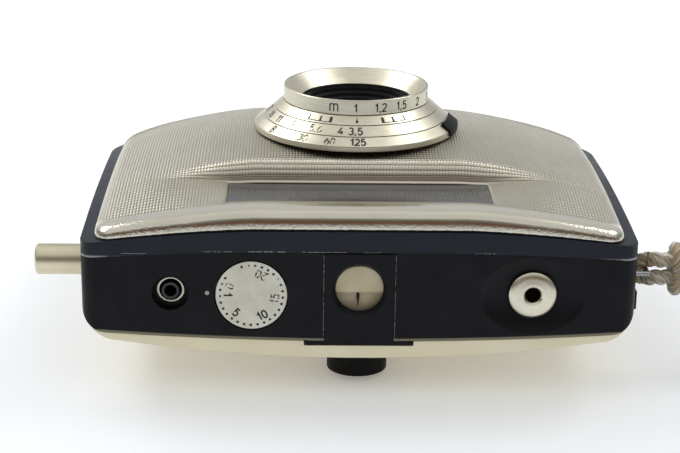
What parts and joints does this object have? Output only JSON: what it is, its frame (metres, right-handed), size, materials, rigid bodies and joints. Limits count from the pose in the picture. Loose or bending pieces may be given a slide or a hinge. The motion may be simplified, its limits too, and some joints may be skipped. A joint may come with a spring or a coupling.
{
  "type": "half-frame viewfinder camera",
  "caption": "Slim half-frame 35 mm viewfinder camera with a push-plunger film advance, a light meter in the top plate, a ring-set leaf-shutter lens and a wrist strap.",
  "frame": {"origin": "middle of the tripod socket's mouth, in the base", "axes": "+Z where the lens looks, +Y out of the base, +X to the side with the wrist strap; the camera lies on its back"},
  "size_m": [0.2145, 0.0741, 0.0508],
  "materials": {
    "shell_black": "satin black moulding",
    "frame_navy": "dark blue enamel, worn bright at the corners",
    "panel_champagne": "matt champagne anodising with a fine grid",
    "back_champagne": "pale gold satin",
    "ring_champagne": "turned champagne anodising",
    "lens_black": "black",
    "clear_glass": "clear",
    "selenium": "dark grey cell",
    "meter_card": "cream card",
    "sheet_steel": "plain",
    "blade_black": "blackened",
    "bright_steel": "satin chrome",
    "brass": "turned",
    "spring_steel": "wire",
    "cast_alloy": "black cast",
    "strap_cord": "braided beige cord"
  },
  "bodies": {
    "camera_body": {"body_shell": "shell_black", "front_frame": "frame_navy", "front_panel": "panel_champagne", "window_glass": "clear_glass", "finder_tube": "lens_black", "finder_lens": "clear_glass", "light_cells": "selenium", "eyepiece": "lens_black", "eyepiece_lens": "clear_glass", "meter_insert": "lens_black", "meter_glass": "clear_glass", "needle_card": "meter_card", "meter_movement": "sheet_steel", "flash_core": "brass", "flash_sleeve": "bright_steel", "flash_insulator": "lens_black", "counter_bridge": "sheet_steel", "release_bracket": "sheet_steel", "release_spring": "spring_steel", "advance_bracket": "sheet_steel", "plunger_bush": "bright_steel", "plunger_spring": "spring_steel", "chassis": "cast_alloy", "film_gate": "sheet_steel", "lens_barrel": "lens_black", "scale_ring": "ring_champagne", "shutter_plate": "sheet_steel", "iris_plate": "sheet_steel", "inner_cell": "lens_black", "middle_element": "clear_glass", "rear_element": "clear_glass", "tripod_bush": "brass", "strap_lug": "bright_steel", "strap_cord": "strap_cord", "strap_bight": "strap_cord", "strap_hitch": "strap_cord"},
    "plunger": {"plunger": "bright_steel"},
    "drive_pinion": {"drive_pinion": "brass"},
    "sprocket": {"sprocket": "brass"},
    "counter_wheel": {"counter_wheel": "brass"},
    "counter_dial": {"counter_dial": "bright_steel"},
    "release_button": {"release_button": "bright_steel"},
    "focus_ring": {"focus_ring": "ring_champagne"},
    "front_cell": {"lens_cell": "lens_black", "front_element": "clear_glass"},
    "aperture_ring": {"aperture_ring": "ring_champagne"},
    "speed_ring": {"speed_ring": "ring_champagne", "speed_tab": "lens_black"},
    "shutter_blade_left": {"shutter_blade_left": "blade_black"},
    "shutter_blade_right": {"shutter_blade_right": "blade_black"},
    "meter_needle": {"meter_needle": "blade_black"},
    "back_cover": {"back_cover": "back_champagne", "pressure_springs": "sheet_steel"},
    "pressure_plate": {"pressure_plate": "sheet_steel"},
    "back_catch": {"back_catch": "lens_black"},
    "iris_blade_1": {"iris_blade_1": "blade_black"},
    "iris_blade_2": {"iris_blade_2": "blade_black"},
    "iris_blade_3": {"iris_blade_3": "blade_black"},
    "iris_blade_4": {"iris_blade_4": "blade_black"},
    "iris_blade_5": {"iris_blade_5": "blade_black"}
  },
  "joints": [
    {"name": "plunger_slide", "type": "slide", "parent": "camera_body", "child": "plunger", "axis": [1, 0, 0], "range_m": [0, 0.00942], "stiffness_N_per_m": 200, "springref_m": -0.004, "deforming": ["plunger_spring"]},
    {"name": "pinion_turn", "type": "hinge", "parent": "camera_body", "child": "drive_pinion", "pos_m": [-0.021, -0.063, -0.00195], "axis": [0, 1, 0], "range_deg": [0, 180.5]},
    {"name": "sprocket_turn", "type": "hinge", "parent": "camera_body", "child": "sprocket", "pos_m": [-0.021, -0.037, -0.00195], "axis": [0, 1, 0], "continuous": true},
    {"name": "counter_step", "type": "hinge", "parent": "camera_body", "child": "counter_wheel", "pos_m": [-0.02095, -0.074, 0], "axis": [0, -1, 0], "range_deg": [0, 13]},
    {"name": "counter_dial_turn", "type": "hinge", "parent": "counter_wheel", "child": "counter_dial", "pos_m": [-0.02095, -0.074, 0], "axis": [0, -1, 0], "continuous": true},
    {"name": "release_press", "type": "slide", "parent": "camera_body", "child": "release_button", "axis": [0, 1, 0], "range_m": [0, 0.0025], "stiffness_N_per_m": 300, "springref_m": -0.001, "deforming": ["release_spring"]},
    {"name": "focus_turn", "type": "hinge", "parent": "camera_body", "child": "focus_ring", "pos_m": [0, -0.0295, 0.02842], "axis": [0, 0, 1], "range_deg": [-112, 0]},
    {"name": "front_cell_slide", "type": "slide", "parent": "camera_body", "child": "front_cell", "axis": [0, 0, 1], "range_m": [-0.00095, 0]},
    {"name": "aperture_turn", "type": "hinge", "parent": "camera_body", "child": "aperture_ring", "pos_m": [0, -0.0295, 0.02495], "axis": [0, 0, 1], "range_deg": [0, 92]},
    {"name": "speed_turn", "type": "hinge", "parent": "camera_body", "child": "speed_ring", "pos_m": [0, -0.0295, 0.0223], "axis": [0, 0, 1], "range_deg": [0, 58]},
    {"name": "needle_swing", "type": "hinge", "parent": "camera_body", "child": "meter_needle", "pos_m": [-0.00025, -0.074, 0.0075], "axis": [0, -1, 0], "range_deg": [-25, 25], "stiffness_Nm_per_rad": 0.000002},
    {"name": "back_slide", "type": "slide", "parent": "camera_body", "child": "back_cover", "axis": [0, 0, -1], "range_m": [0, 0.02]},
    {"name": "pressure_plate_slide", "type": "slide", "parent": "back_cover", "child": "pressure_plate", "axis": [0, 0, -1], "range_m": [0, 0.0006], "stiffness_N_per_m": 200, "springref_m": -0.001, "deforming": ["pressure_springs"]},
    {"name": "catch_press", "type": "slide", "parent": "camera_body", "child": "back_catch", "axis": [-1, 0, 0], "range_m": [0, 0.0009], "stiffness_N_per_m": 300, "springref_m": -0.001},
    {"name": "iris_swing_1", "type": "hinge", "parent": "camera_body", "child": "iris_blade_1", "pos_m": [0.0102, -0.0295, 0.0166], "axis": [0, 0, 1], "range_deg": [0, 24]},
    {"name": "iris_swing_2", "type": "hinge", "parent": "camera_body", "child": "iris_blade_2", "pos_m": [0.00315, -0.0198, 0.0169], "axis": [0, 0, 1], "range_deg": [0, 24]},
    {"name": "iris_swing_3", "type": "hinge", "parent": "camera_body", "child": "iris_blade_3", "pos_m": [-0.00825, -0.02351, 0.0172], "axis": [0, 0, 1], "range_deg": [0, 24]},
    {"name": "iris_swing_4", "type": "hinge", "parent": "camera_body", "child": "iris_blade_4", "pos_m": [-0.00825, -0.03549, 0.0175], "axis": [0, 0, 1], "range_deg": [0, 24]},
    {"name": "iris_swing_5", "type": "hinge", "parent": "camera_body", "child": "iris_blade_5", "pos_m": [0.00315, -0.0392, 0.0178], "axis": [0, 0, 1], "range_deg": [0, 24]},
    {"name": "shutter_swing_left", "type": "hinge", "parent": "camera_body", "child": "shutter_blade_left", "pos_m": [0.0075, -0.039, 0.0146], "axis": [0, 0, 1], "range_deg": [-33, 0]},
    {"name": "shutter_swing_right", "type": "hinge", "parent": "camera_body", "child": "shutter_blade_right", "pos_m": [-0.0075, -0.02, 0.0146], "axis": [0, 0, 1], "range_deg": [-33, 0]}
  ],
  "couplings": [
    {"joint": "pinion_turn", "follows": "plunger_slide", "rad_per_m": 333.33},
    {"joint": "counter_step", "follows": "plunger_slide", "rad_per_m": 22.988},
    {"joint": "front_cell_slide", "follows": "focus_turn", "m_per_rad": 0.000475},
    {"joint": "shutter_swing_right", "follows": "shutter_swing_left", "ratio": 1},
    {"joint": "iris_swing_1", "follows": "aperture_turn", "ratio": 0.26087},
    {"joint": "iris_swing_2", "follows": "aperture_turn", "ratio": 0.26087},
    {"joint": "iris_swing_3", "follows": "aperture_turn", "ratio": 0.26087},
    {"joint": "iris_swing_4", "follows": "aperture_turn", "ratio": 0.26087},
    {"joint": "iris_swing_5", "follows": "aperture_turn", "ratio": 0.26087}
  ]
}
